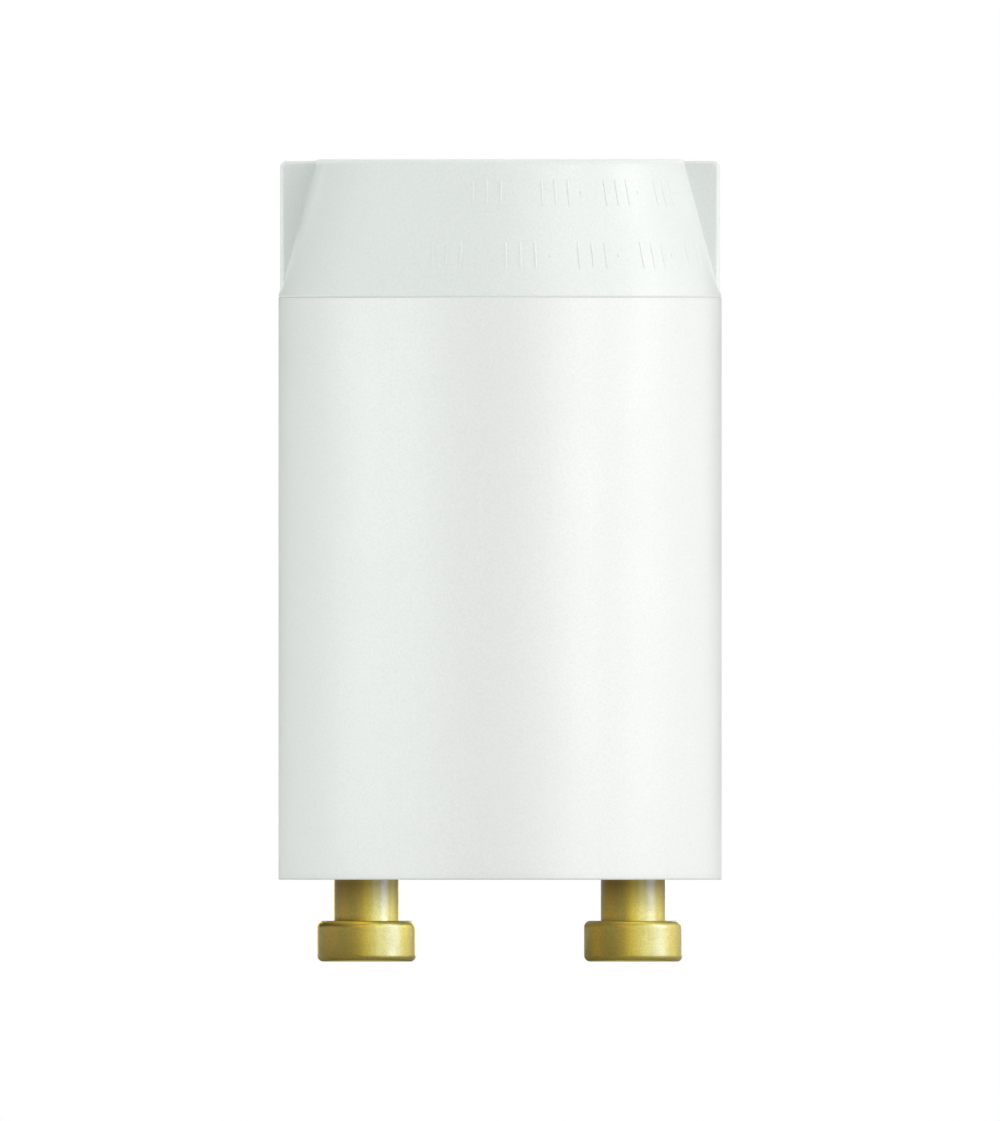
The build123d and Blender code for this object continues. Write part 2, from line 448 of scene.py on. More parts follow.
def turned_rings():
    """Fine rings round two upright axes left and right of the origin, with their tarnish and radius."""
    name = "Turned rings"
    if name in bpy.data.node_groups:
        return bpy.data.node_groups[name]
    group, given, result = node_group(
        name, {"Axis distance": 0.0, "Pitch": 0.0001}, ("Rings", "Tarnish", "Radius")
    )
    place = object_place(group)
    x, y, z = parts_of(group, place)
    across = math_node(group, "SUBTRACT", math_node(group, "ABSOLUTE", x), given["Axis distance"])
    square = math_node(group, "ADD", product(group, across, across), product(group, y, y))
    radius = math_node(group, "SQRT", square)
    ring_place = wired(
        group,
        "ShaderNodeCombineXYZ",
        X=math_node(group, "DIVIDE", radius, given["Pitch"]),
        Y=math_node(group, "DIVIDE", z, given["Pitch"]),
        Z=product(group, math_node(group, "ARCTAN2", y, across), RING_DRIFT),
    )
    rings = noise(group, ring_place.outputs[0], 1.0, detail=2.0, roughness=0.6)
    tarnish = noise(group, place, TARNISH_SPOTS, detail=4.0, roughness=0.6)
    fill(
        group,
        result,
        Rings=map_range(group, rings, 0.25, 0.75),
        Tarnish=map_range(group, tarnish, 0.35, 0.7),
        Radius=radius,
    )
    return group


def drawn_streaks():
    """Streaks along an upright wire or strip, and its dull spots."""
    name = "Drawn streaks"
    if name in bpy.data.node_groups:
        return bpy.data.node_groups[name]
    group, given, result = node_group(name, {"Streak size": 0.0001}, ("Streaks", "Spots"))
    place = object_place(group)
    stretched = wired(group, "ShaderNodeMapping", Vector=place, Scale=(1.0, 1.0, STREAK_SCALE))
    scale = math_node(group, "DIVIDE", 1.0, given["Streak size"])
    streaks = noise(group, stretched.outputs[0], scale, detail=2.0, roughness=0.6)
    spots = noise(group, place, HEAT_SPOTS, detail=4.0, roughness=0.6)
    fill(
        group,
        result,
        Streaks=map_range(group, streaks, 0.3, 0.7),
        Spots=map_range(group, spots, 0.42, 0.72),
    )
    return group


# Finish of the plastic

# Distance over which a mask turns from none to full, and a finer one for the sides of the fins
BLUR = 0.0001
FINE_BLUR = 0.00002

# Tones of the grain against the plain colour, and share of the darker one in its clouds
LIGHT_GRAIN = 1.035
DARK_GRAIN = 0.955
CLOUD_SHARE = 0.25

# Half the height over which the can's white turns into that of the cap
WHITE_BLEND = 0.00004

# Painted shade in the parting line: full up to the first distance from its middle, and none past the
# second
PARTING_LINE_SHADE = 0.35
LINE_CORE = 0.00003
LINE_EDGE = 0.00007
# Painted shade along the rim: strong up to the first height above it, weak at the second, gone at the
# third
STRONG_RIM_SHADE = 0.8
WEAK_RIM_SHADE = 0.12
RIM_CORE = 0.00003
RIM_EDGE = 0.0001
RIM_FADE = 0.0004
# Colour of the painted shade in the parting line and along the rim
LINE_AND_RIM_SHADE_TONE = 0.72

# Shade on the cone beside the fins: distance along X from which the fins stand clear of the cone,
# distance along Y at which it ends, levels between which it sets in, and strength left and right
FIN_START = 0.005
SHADE_REACH = 0.0030
SHADE_LOW = 0.0332
SHADE_HIGH = 0.0350
LEFT_SHADE = 0.6
RIGHT_SHADE = 0.12
SHADE_TONE = 0.6

# Gloss of the plastic. It is gone on the flat top, which begins this far below the highest level.
SATIN_GLOSS = 0.5
TOP_MARGIN = 0.0002
# It also fades on the front and the back of the can, over this range of the facing weight. The
# front ends and the back starts between these two values of Y each.
TURNED_AWAY = (0.3, 0.55)
FRONT_END = (-0.0085, -0.0075)
BACK_START = (0.0, 0.001)


def grained_tone(tree, grain, light, dark):
    """Tone that speckle and slow unevenness vary between a light and a dark one."""
    speckled = mix_colours(tree, grain["Speckle"], dark, light)
    return mix_colours(tree, product(tree, grain["Cloud"], CLOUD_SHARE), speckled, dark)


def line_and_rim_shade_mask(tree, level):
    """Painted shade in the parting line of the can and along its rim."""
    off_line = math_node(tree, "ABSOLUTE", math_node(tree, "SUBTRACT", level, PARTING_LEVEL))
    on_line = map_range(tree, off_line, LINE_CORE, LINE_EDGE, PARTING_LINE_SHADE, 0.0)
    rim_core, rim_edge, rim_fade = (RIM_LEVEL + height for height in (RIM_CORE, RIM_EDGE, RIM_FADE))
    on_rim = map_range(tree, level, rim_core, rim_edge, STRONG_RIM_SHADE, WEAK_RIM_SHADE)
    near_rim = map_range(tree, level, rim_edge, rim_fade, 1.0, 0.0)
    return math_node(tree, "ADD", on_line, product(tree, on_rim, near_rim))


def corner_mask(tree, x, y, level):
    """Shade on the cone beside the fins, stronger on the left."""
    from_middle = math_node(tree, "ABSOLUTE", y)
    fin_side = FIN_HALF_THICKNESS + FINE_BLUR / 2
    return product(
        tree,
        map_range(tree, x, -FIN_START, FIN_START, LEFT_SHADE, RIGHT_SHADE),
        map_range(tree, from_middle, fin_side, fin_side + FINE_BLUR),
        map_range(tree, from_middle, FIN_HALF_THICKNESS, SHADE_REACH, 1.0, 0.0),
        map_range(tree, math_node(tree, "ABSOLUTE", x), FIN_START, FIN_START + BLUR),
        map_range(tree, level, SHADE_LOW, SHADE_HIGH),
    )


def satin_gloss(tree, y):
    """Gloss of the can, which fades where its front or back is seen at a low angle."""
    facing = tree.nodes.new("ShaderNodeLayerWeight").outputs["Facing"]
    turned_away = map_range(tree, facing, *TURNED_AWAY)
    at_front = map_range(tree, y, *FRONT_END, 1.0, 0.0)
    at_back = map_range(tree, y, *BACK_START)
    dull = product(tree, turned_away, math_node(tree, "MAXIMUM", at_front, at_back))
    return map_range(tree, dull, 0, 1, SATIN_GLOSS, 0.0)


def satin_plastic(name, colour, cap_colour=None):
    """Satin plastic with a fine grain. On the can, the cap's colour begins at the parting line."""
    settings = bpy.context.scene.starter_plastic
    material, tree, shader = new_material(name)
    grain = grouped(tree, moulded_grain(), Grain_size=settings.grain_size)
    light, dark = scaled(colour, LIGHT_GRAIN), scaled(colour, DARK_GRAIN)
    if cap_colour:
        x, y, level = parts_of(tree, object_place(tree))
        on_cap = map_range(tree, level, PARTING_LEVEL - WHITE_BLEND, PARTING_LEVEL + WHITE_BLEND)
        light = mix_colours(tree, on_cap, light, scaled(cap_colour, LIGHT_GRAIN))
        dark = mix_colours(tree, on_cap, dark, scaled(cap_colour, DARK_GRAIN))
    tone = grained_tone(tree, grain, light, dark)
    if cap_colour:
        flat_top = TOP_LEVEL - TOP_MARGIN
        below_top = map_range(tree, level, flat_top - BLUR, flat_top, 1.0, 0.0)
        # Painted shade in the parting line and along the rim
        tone = mix_colours(tree, line_and_rim_shade_mask(tree, level), tone, scaled(colour, LINE_AND_RIM_SHADE_TONE))
        corner = product(tree, corner_mask(tree, x, y, level), below_top)
        tone = mix_colours(tree, corner, tone, scaled(cap_colour, SHADE_TONE))
        fill(tree, shader, Specular_IOR_Level=product(tree, below_top, satin_gloss(tree, y)))
    low, high = settings.roughness - 0.04, settings.roughness + 0.05
    fill(
        tree,
        shader,
        Base_Color=tone,
        Roughness=map_range(tree, grain["Cloud"], 0, 1, low, high),
        IOR=1.5,
        Normal=bump(tree, grain["Height"], 0.000006),
    )
    return material


# Finish of the pins

# Tones of the turned rings and of the grain against the plain brass, and how much the grain shows
DARK_RING = 0.95
LIGHT_RING = 1.04
GRAIN_TONE = 0.7
GRAIN_SHARE = 0.8
# Depth of the rings against that of the grain
RING_RELIEF = 0.3
# Share of the brass's red, green and blue where it is tarnished, and how much the tarnish shows
TARNISH_TINT = (0.82, 0.76, 0.60)
TARNISH_SHARE = 0.25
# Painted shade on the root of the neck, in the same terms. It sets in above the head, and is full below
# the rim.
ROOT_SHADE_TINT = (0.28, 0.25, 0.20)
ROOT_SHADE_SHARE = 0.95
ROOT_START = 0.0003
ROOT_END = 0.0002
# Painted contact shadow, a dark line at the foot of the head: levels that it fades between, and its
# width inwards
FOOT_SHADOW_TONE = 0.25
FOOT_SHARE = 0.7
FOOT_CORE = 0.00003
FOOT_EDGE = 0.0001
FOOT_WIDTH = 0.0003


def turned_brass():
    """Brass as it leaves the lathe, with a fine even grain, and a painted shade that darkens it towards
    the base disc.
    """
    settings = bpy.context.scene.starter_brass
    material, tree, shader = new_material("Turned brass")
    rings = grouped(tree, turned_rings(), Axis_distance=PIN_X, Pitch=settings.turning_pitch)
    grain = grouped(tree, moulded_grain(), Grain_size=settings.grain_size)
    brass = tuple(settings.brass)
    tone = mix_colours(tree, rings["Rings"], scaled(brass, DARK_RING), scaled(brass, LIGHT_RING))
    speckle = product(tree, grain["Speckle"], GRAIN_SHARE)
    tone = mix_colours(tree, speckle, tone, scaled(brass, GRAIN_TONE))
    tarnish = product(tree, rings["Tarnish"], TARNISH_SHARE)
    tone = mix_colours(tree, tarnish, tone, tinted(brass, TARNISH_TINT))
    _, _, level = parts_of(tree, object_place(tree))
    # Painted shade: the neck darkens towards its root under the can
    root_start, root_end = HEAD_HEIGHT + ROOT_START, RIM_LEVEL - ROOT_END
    root = map_range(tree, level, root_start, root_end, 0.0, ROOT_SHADE_SHARE)
    tone = mix_colours(tree, root, tone, tinted(brass, ROOT_SHADE_TINT))
    # Painted contact shadow along the outer edge of the head's foot
    foot_shadow = map_range(tree, level, FOOT_CORE, FOOT_EDGE, FOOT_SHARE, 0.0)
    edge_start = HEAD_RADIUS - FOOT_WIDTH
    at_edge = map_range(tree, rings["Radius"], edge_start, edge_start + BLUR)
    tone = mix_colours(tree, product(tree, foot_shadow, at_edge), tone, scaled(brass, FOOT_SHADOW_TONE))
    relief = math_node(tree, "ADD", product(tree, rings["Rings"], RING_RELIEF), grain["Height"])
    low, high = settings.roughness - 0.04, settings.roughness + 0.06
    fill(
        tree,
        shader,
        Base_Color=tone,
        Metallic=1.0,
        Coat_Weight=0.45,
        Coat_Roughness=0.28,
        Roughness=map_range(tree, rings["Tarnish"], 0, 1, low, high),
        Normal=bump(tree, relief, 0.000005),
    )
    return material


# Finishes of the pieces inside

# Width of the streaks on a drawn wire, on a rolled strip and on solder
WIRE_STREAK = 0.00005
STRIP_STREAK = 0.00012
SOLDER_STREAK = 0.0003
# Tones of the streaks and of unstained spots against the plain metal, and how much spots show
DARK_STREAK = 0.86
LIGHT_STREAK = 1.08
SPOT_TONE = 0.72
SPOT_SHARE = 0.5
# Colours of a wire and of a strip where heat has stained them, and of old flux on solder
HEATED_WIRE = (0.36, 0.13, 0.07)
HEATED_STRIP = (0.40, 0.32, 0.24)
OLD_FLUX = (0.45, 0.40, 0.30)
# Features a metre of the glass's ripple and of its faint clouds, and the tone of these
GLASS_RIPPLES = 500.0
GLASS_CLOUDS = 180.0
CLOUDY_GLASS = 0.93
# Tones of the pressed glass against the blown one, and of solder against the tin on a wire
PRESSED_GLASS = 0.94
DULL_SOLDER = 0.95
# Size of the grain of dipped resin, and its tones where it is thin and where it is thick
RESIN_GRAIN = 0.0006
THIN_RESIN = 1.1
THICK_RESIN = 0.7


def drawn_metal(name, colour, roughness, streak_size, stain=None):
    """Drawn or rolled metal with fine streaks along it, and spots in a stain's colour or just darker."""
    material, tree, shader = new_material(name)
    streaks = grouped(tree, drawn_streaks(), Streak_size=streak_size)
    dark, light = scaled(colour, DARK_STREAK), scaled(colour, LIGHT_STREAK)
    tone = mix_colours(tree, streaks["Streaks"], dark, light)
    spots = product(tree, streaks["Spots"], SPOT_SHARE)
    low, high = roughness - 0.05, roughness + 0.12
    fill(
        tree,
        shader,
        Base_Color=mix_colours(tree, spots, tone, stain or scaled(colour, SPOT_TONE)),
        Metallic=1.0,
        Roughness=map_range(tree, streaks["Spots"], 0, 1, low, high),
        Normal=bump(tree, streaks["Streaks"], 0.000003),
    )
    return material


def clear_glass(name, colour, roughness):
    """Clear glass with the faint ripple that blowing and pressing leave."""
    material, tree, shader = new_material(name)
    place = object_place(tree)
    ripple = noise(tree, place, GLASS_RIPPLES, detail=2.0)
    cloud = map_range(tree, noise(tree, place, GLASS_CLOUDS, detail=3.0), 0.4, 0.7)
    fill(
        tree,
        shader,
        Base_Color=mix_colours(tree, cloud, colour, scaled(colour, CLOUDY_GLASS)),
        Roughness=map_range(tree, cloud, 0, 1, roughness, roughness + 0.06),
        Transmission_Weight=1.0,
        IOR=1.5,
        Normal=bump(tree, ripple, 0.00001),
    )
    return material


def dipped_resin(name, colour):
    """Glossy dipped resin, thicker and darker in places."""
    material, tree, shader = new_material(name)
    grain = grouped(tree, moulded_grain(), Grain_size=RESIN_GRAIN)
    thin, thick = scaled(colour, THIN_RESIN), scaled(colour, THICK_RESIN)
    fill(
        tree,
        shader,
        Base_Color=mix_colours(tree, grain["Cloud"], thin, thick),
        Roughness=map_range(tree, grain["Speckle"], 0, 1, 0.16, 0.26),
        Coat_Weight=0.6,
        Coat_Roughness=0.08,
        Normal=bump(tree, grain["Height"], 0.00003),
    )
    return material


# Raised marks on the cap

# Level of each row, its first angle from the front in degrees, and its number of places
MARK_ROWS = (
    (0.03660, -8, 19),
    (0.03361, -19, 23),
)
# Each five places hold three bars, a dot and a gap. A dot's length is given in widths of a bar.
GROUP_PLACES = 5
DOT_PLACE = 3
GAP_PLACE = 4
DOT_LENGTH = 1.4
# Points along a bar and round it, and how squarely its ends are rounded
BAR_POINTS = 9
BAR_SIDES = 8
END_POWER = 8.0
# Just over 1, so that the ends keep a trace of thickness
FULL_SQUARE = 1.0001
# Points closer together than this are merged, which closes the ends
MERGE_DISTANCE = 0.000004

MARK_INPUTS = {
    "Places": "NodeSocketInt",
    "First angle": "NodeSocketFloat",
    "Pitch": "NodeSocketFloat",
    "Level": "NodeSocketFloat",
    "Radius": "NodeSocketFloat",
    "Slope": "NodeSocketFloat",
    "Bar width": "NodeSocketFloat",
    "Bar length": "NodeSocketFloat",
    "Relief": "NodeSocketFloat",
    "Finish": "NodeSocketMaterial",
}


def rounded_bar(tree, half_width, half_length):
    """Upright bar of round section, rounded off at both ends. Returns its mesh socket."""
    line = wired(
        tree,
        "GeometryNodeCurvePrimitiveLine",
        Start=wired(tree, "ShaderNodeCombineXYZ", Z=product(tree, half_length, -1.0)).outputs[0],
        End=wired(tree, "ShaderNodeCombineXYZ", Z=half_length).outputs[0],
    )
    points = wired(tree, "GeometryNodeResampleCurve", Curve=line.outputs[0], Count=BAR_POINTS)
    along = tree.nodes.new("GeometryNodeSplineParameter").outputs["Factor"]
    from_middle = math_node(tree, "SUBTRACT", product(tree, along, 2.0), 1.0)
    cut = math_node(tree, "POWER", math_node(tree, "ABSOLUTE", from_middle), END_POWER)
    thickness = math_node(tree, "SQRT", math_node(tree, "SUBTRACT", FULL_SQUARE, cut))
    ring = wired(tree, "GeometryNodeCurvePrimitiveCircle", Resolution=BAR_SIDES, Radius=half_width)
    body = wired(
        tree,
        "GeometryNodeCurveToMesh",
        Curve=points.outputs[0],
        Profile_Curve=ring.outputs["Curve"],
        Scale=thickness,
    )
    closed = wired(
        tree, "GeometryNodeMergeByDistance", Geometry=body.outputs[0], Distance=MERGE_DISTANCE
    )
    return closed.outputs[0]


def stored(tree, geometry, name, value):
    """Keeps a value on each point under a name. Returns the geometry's socket."""
    node = wired(
        tree, "GeometryNodeStoreNamedAttribute", Geometry=geometry, Name=name, Value=value
    )
    return node.outputs[0]


def marks_tree():
    """Geometry nodes that set a row of raised bars and dots on a cone, in groups with gaps."""
    tree = bpy.data.node_groups.new("Raised marks", "GeometryNodeTree")
    for name, kind in MARK_INPUTS.items():
        tree.interface.new_socket(name, in_out="INPUT", socket_type=kind)
    tree.interface.new_socket("Geometry", in_out="OUTPUT", socket_type="NodeSocketGeometry")
    given = tree.nodes.new("NodeGroupInput").outputs
    result = tree.nodes.new("NodeGroupOutput")
    half_width = product(tree, given["Bar width"], 0.5)
    half_length = product(tree, given["Bar length"], 0.5)

    # Each place keeps its angle and its share of the bar's length, and the gaps are taken out
    index = tree.nodes.new("GeometryNodeInputIndex").outputs[0]
    step = math_node(tree, "MODULO", index, GROUP_PLACES)
    turn = math_node(tree, "ADD", given["First angle"], product(tree, index, given["Pitch"]))
    dot_length = product(tree, given["Bar width"], DOT_LENGTH)
    dot_share = math_node(tree, "DIVIDE", dot_length, given["Bar length"])
    is_dot = math_node(tree, "COMPARE", step, DOT_PLACE)
    cut = product(tree, is_dot, math_node(tree, "SUBTRACT", 1.0, dot_share))
    share = math_node(tree, "SUBTRACT", 1.0, cut)
    places = wired(tree, "GeometryNodeMeshLine", Count=given["Places"]).outputs[0]
    places = stored(tree, stored(tree, places, "turn", turn), "share", share)
    kept = wired(
        tree,
        "GeometryNodeDeleteGeometry",
        Geometry=places,
        Selection=math_node(tree, "GREATER_THAN", step, GAP_PLACE - 0.5),
    )
    turn = wired(tree, "GeometryNodeInputNamedAttribute", Name="turn").outputs[0]
    share = wired(tree, "GeometryNodeInputNamedAttribute", Name="share").outputs[0]

    # A bar's middle lies inside the cone, so that only its relief stands out
    depth = math_node(tree, "SUBTRACT", given["Relief"], half_width)
    sunk = math_node(tree, "ADD", given["Radius"], depth)
    spot = wired(
        tree,
        "ShaderNodeCombineXYZ",
        X=product(tree, sunk, math_node(tree, "SINE", turn)),
        Y=product(tree, sunk, -1.0, math_node(tree, "COSINE", turn)),
        Z=given["Level"],
    )
    moved = wired(
        tree, "GeometryNodeSetPosition", Geometry=kept.outputs[0], Position=spot.outputs[0]
    )
    lean = wired(tree, "ShaderNodeCombineXYZ", X=product(tree, given["Slope"], -1.0), Z=turn)
    rotation = wired(tree, "FunctionNodeEulerToRotation", Euler=lean.outputs[0])
    size = wired(tree, "ShaderNodeCombineXYZ", X=1.0, Y=1.0, Z=share)
    placed = wired(
        tree,
        "GeometryNodeInstanceOnPoints",
        Points=moved.outputs[0],
        Instance=rounded_bar(tree, half_width, half_length),
        Rotation=rotation.outputs[0],
        Scale=size.outputs[0],
    )
    real = wired(tree, "GeometryNodeRealizeInstances", Geometry=placed.outputs[0])
    smooth = wired(tree, "GeometryNodeSetShadeSmooth", Geometry=real.outputs[0])
    finished = wired(
        tree, "GeometryNodeSetMaterial", Geometry=smooth.outputs[0], Material=given["Finish"]
    )
    fill(tree, result, Geometry=finished.outputs[0])
    return tree


def grown(tree, name, values):
    """Mesh that a geometry tree gives for the named input values."""
    base = bpy.data.objects.new(name + "_base", bpy.data.meshes.new(name + "_base"))
    bpy.context.scene.collection.objects.link(base)
    modifier = base.modifiers.new("tree", "NODES")
    modifier.node_group = tree
    for socket in tree.interface.items_tree:
        if socket.name in values:
            modifier[socket.identifier] = values[socket.name]
    bpy.context.view_layer.update()
    evaluated = base.evaluated_get(bpy.context.evaluated_depsgraph_get())
    mesh = bpy.data.meshes.new_from_object(evaluated)
    bpy.data.objects.remove(base)
    if not mesh.polygons:
        raise RuntimeError(name + " came out empty")
    return mesh


def joined(name, meshes, material):
    """One object from several meshes, with one material and no leftover attributes."""
    shape = bmesh.new()
    for mesh in meshes:
        shape.from_mesh(mesh)
    mesh = bpy.data.meshes.new(name)
    bmesh.ops.recalc_face_normals(shape, faces=shape.faces)
    shape.to_mesh(mesh)
    shape.free()
    for leftover in ("turn", "share"):
        if leftover in mesh.attributes:
            mesh.attributes.remove(mesh.attributes[leftover])
    mesh.materials.clear()
    mesh.materials.append(material)
    mesh.polygons.foreach_set("use_smooth", [True] * len(mesh.polygons))
    return bpy.data.objects.new(name, mesh)


# Stage

CAMERA_DISTANCE = 0.4
CAMERA_CLIP = (0.01, 10)

# The floor lies just below the heads. Its shadow fades to plain white between two distances.
FLOOR_REACH = 2.0
FLOOR_LEVEL = -0.00002
FLOOR_TONE = 0.80
SHADOW_END = 0.018
WHITE_START = 0.09
# A ray that starts closer to the floor than this starts on a head that stands on it
TOUCHING = 0.0001

# Curved cards that only gloss shows: name, first and last angle from the front, and colour
CARDS = (
    ("left_card", -178, 8, (0.03, 0.07, 0.05)),
    ("right_card", 140, 178, (0.0, 0.0, 0.0)),
)
CARD_RADIUS = 0.36
CARD_LOW = -0.01
CARD_HIGH = 0.36
CARD_STEPS = 24

# The powers in PLASTIC_LAMPS, PIN_LAMPS and PIN_TOP_POWERS weren't chosen by hand. A separate program
# fitted them to tones sampled in the photograph, and only two of them were changed after that.

# Upright lamps that only the plastic sees: angle from the front, lower end, upper end and power
PLASTIC_LAMPS = (
    (-30, 0.0, 0.1, 0.046),
    (-45, 0.0, 0.1, 0.099),
    (-60, 0.0, 0.1, 0.084),
    (-75, 0.0, 0.1, 0.119),
    (-90, 0.0, 0.1, 0.061),
    (-90, 0.1, 0.25, 0.032),
    (30, 0.0, 0.1, 0.066),
    (45, 0.0, 0.1, 0.163),
    (75, 0.0, 0.1, 0.131),
    (90, 0.0, 0.1, 0.031),
    (30, 0.1, 0.25, 0.036),
    (45, 0.1, 0.25, 0.086),
    (90, 0.1, 0.25, 0.172),
)
# The same for the lamps behind the object, which leave no gleam on it
BACK_LAMPS = (
    (-163, 0.0, 0.25, 0.17),
    (163, 0.0, 0.25, 0.17),
    (180, 0.0, 0.25, 0.28),
)
LEFT_LIGHT = (0.97, 1.0, 0.985)
RIGHT_LIGHT = (1.0, 1.0, 0.995)
TOP_LIGHT = (1.0, 1.0, 1.0)
PLASTIC_TOP_POWER = 0.6

PINS = ("contact_pin_left", "contact_pin_right")
# Upright lamps that only one pin sees: angle from the front, lower end, upper end, and power in red,
# green and blue for the left and for the right pin
PIN_LAMPS = (
    (-90, 0.0, 0.1, (0.014, 0.0, 0.0), (0.02, 0.005, 0.0)),
    (0, 0.0, 0.1, (0.052, 0.055, 0.0), (0.074, 0.073, 0.0)),
    (30, 0.0, 0.1, (0.094, 0.119, 0.17), (0.084, 0.104, 0.131)),
    (60, 0.0, 0.1, (0.098, 0.133, 0.435), (0.073, 0.111, 0.376)),
    (75, 0.0, 0.1, (0.106, 0.142, 0.365), (0.098, 0.128, 0.334)),
    (105, 0.0, 0.1, (0.109, 0.113, 0.034), (0.041, 0.04, 0.0)),
    (-15, 0.1, 0.2, (0.107, 0.033, 0.0), (0.075, 0.013, 0.0)),
    (60, 0.1, 0.2, (0.049, 0.102, 0.405), (0.0, 0.04, 0.328)),
    (20, 0.2, 0.4, (0.192, 0.249, 0.161), (0.052, 0.103, 0.0)),
    (60, 0.2, 0.4, (0.466, 0.447, 0.267), (0.365, 0.42, 0.36)),
    (165, 0.0, 0.1, (0.18, 0.164, 0.106), (0.257, 0.263, 0.187)),
    (-165, 0.0, 0.1, (0.1, 0.075, 0.033), (0.009, 0.0, 0.0)),
)
# Power in red, green and blue of the lamp above each pin
PIN_TOP_POWERS = ((0.345, 0.284, 0.047), (0.386, 0.385, 0.278))

LAMP_DISTANCE = 0.3
LAMP_WIDTH = 0.079
TOP_LAMP_LEVEL = 0.35
TOP_LAMP_WIDTH = 0.25


def link(thing):
    """Adds an object to the scene."""
    bpy.context.scene.collection.objects.link(thing)


def add_camera(settings):
    """Camera that looks straight at the front, with no perspective, as in the photograph."""
    camera = bpy.data.objects.new("camera", bpy.data.cameras.new("camera"))
    camera.data.type = "ORTHO"
    camera.data.ortho_scale = settings.picture_height
    camera.data.clip_start, camera.data.clip_end = CAMERA_CLIP
    camera.location = (0, -CAMERA_DISTANCE, settings.picture_middle)
    camera.rotation_euler = (math.radians(90), 0, 0)
    link(camera)
    bpy.context.scene.camera = camera


def background_rays(tree):
    """Mask of the rays that show a plain background: from the camera, from gloss and through glass."""
    rays = tree.nodes.new("ShaderNodeLightPath").outputs
    indirect = math_node(tree, "MAXIMUM", rays["Is Glossy Ray"], rays["Is Transmission Ray"])
    return math_node(tree, "MAXIMUM", rays["Is Camera Ray"], indirect)


def mix_shaders(tree, factor, first, second):
    """Mix of two shaders. Returns its output."""
    node = fill(tree, tree.nodes.new("ShaderNodeMixShader"), Fac=factor)
    feed(tree, node.inputs[1], first)
    feed(tree, node.inputs[2], second)
    return node.outputs[0]


def add_floor():
    """Pale floor that keeps the object's shadow, is white further out, and is clear from below."""
    mesh = bpy.data.meshes.new("floor")
    sides = (-FLOOR_REACH, FLOOR_REACH)
    corners = [(x, y, FLOOR_LEVEL) for y in sides for x in sides]
    mesh.from_pydata(corners, [], [(0, 1, 3, 2)])
    floor = bpy.data.objects.new("floor", mesh)
    material, tree, shader = new_material("Pale floor")
    fill(
        tree,
        shader,
        Base_Color=(FLOOR_TONE, FLOOR_TONE, FLOOR_TONE, 1),
        Roughness=0.8,
        Specular_IOR_Level=0.1,
    )
    length = wired(tree, "ShaderNodeVectorMath", Vector=object_place(tree))
    length.operation = "LENGTH"
    far = map_range(tree, length.outputs["Value"], SHADOW_END, WHITE_START)
    white = wired(tree, "ShaderNodeEmission", Strength=1.0).outputs[0]
    seen = product(tree, far, background_rays(tree))
    pale = mix_shaders(tree, seen, shader.outputs[0], white)
    ray_length = tree.nodes.new("ShaderNodeLightPath").outputs["Ray Length"]
    touching = math_node(tree, "LESS_THAN", ray_length, TOUCHING)
    below = tree.nodes.new("ShaderNodeNewGeometry").outputs["Backfacing"]
    clear = tree.nodes.new("ShaderNodeBsdfTransparent").outputs[0]
    surface = mix_shaders(tree, math_node(tree, "MAXIMUM", below, touching), pale, clear)
    fill(tree, tree.nodes["Material Output"], Surface=surface)
    mesh.materials.append(material)
    link(floor)


def add_card(name, first, last, colour):
    """Upright curved card round the object that only its gloss shows, from one angle to another."""
    points = []
    faces = []
    for step in range(CARD_STEPS + 1):
        turn = math.radians(first + (last - first) * step / CARD_STEPS)
        x, y = math.sin(turn) * CARD_RADIUS, -math.cos(turn) * CARD_RADIUS
        points += [(x, y, CARD_LOW), (x, y, CARD_HIGH)]
        if step:
            faces.append((2 * step - 2, 2 * step - 1, 2 * step + 1, 2 * step))
    mesh = bpy.data.meshes.new(name)
    mesh.from_pydata(points, [], faces)
    material, tree, _ = new_material(name)
    tone = wired(tree, "ShaderNodeEmission", Color=(*colour, 1), Strength=1.0)
    fill(tree, tree.nodes["Material Output"], Surface=tone.outputs[0])
    mesh.materials.append(material)
    card = bpy.data.objects.new(name, mesh)
    card.visible_camera = False
    card.visible_diffuse = False
    card.visible_transmission = False
    card.visible_shadow = False
    link(card)


def add_world(settings):
    """White to the camera and in reflections, and a plain even light for the rest."""
    world = bpy.data.worlds.new("white_studio")
    world.use_nodes = True
    tree = world.node_tree
    strength = map_range(tree, background_rays(tree), 0, 1, settings.ambient, 1.0)
    fill(tree, tree.nodes["Background"], Color=(1, 1, 1, 1), Strength=strength)
    bpy.context.scene.world = world


def linked(name, nodes, state):
    """Collection that tells a lamp to take in, or to leave out, the given pieces of the frame."""
    chosen = bpy.data.collections.new(name)
    for node in nodes:
        chosen.objects.link(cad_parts[node])
    for entry in chosen.collection_objects:
        entry.light_linking.link_state = state
    return chosen


def area_lamp(name, shape, width, power, colour):
    """Area lamp of a shape and a width. Returns its object."""
    data = bpy.data.lights.new(name, "AREA")
    data.shape = shape
    data.size = width
    data.energy = power
    data.color = colour
    lamp = bpy.data.objects.new(name, data)
    link(lamp)
    return lamp


def side_lamp(name, angle, low, high, power, colour):
    """Upright lamp that faces the object from an angle, between two levels."""
    lamp = area_lamp(name, "RECTANGLE", LAMP_WIDTH, power, colour)
    lamp.data.size_y = high - low
    turn = math.radians(angle)
    outward = Vector((math.sin(turn), -math.cos(turn), 0))
    lamp.location = Vector((0, 0, (low + high) / 2)) + LAMP_DISTANCE * outward
    lamp.rotation_euler = (-outward).to_track_quat("-Z", "Y").to_euler()
    return lamp


def top_lamp(name, power, colour):
    """Round lamp that faces straight down on the object."""
    lamp = area_lamp(name, "DISK", TOP_LAMP_WIDTH, power, colour)
    lamp.location = (0, 0, TOP_LAMP_LEVEL)
    return lamp


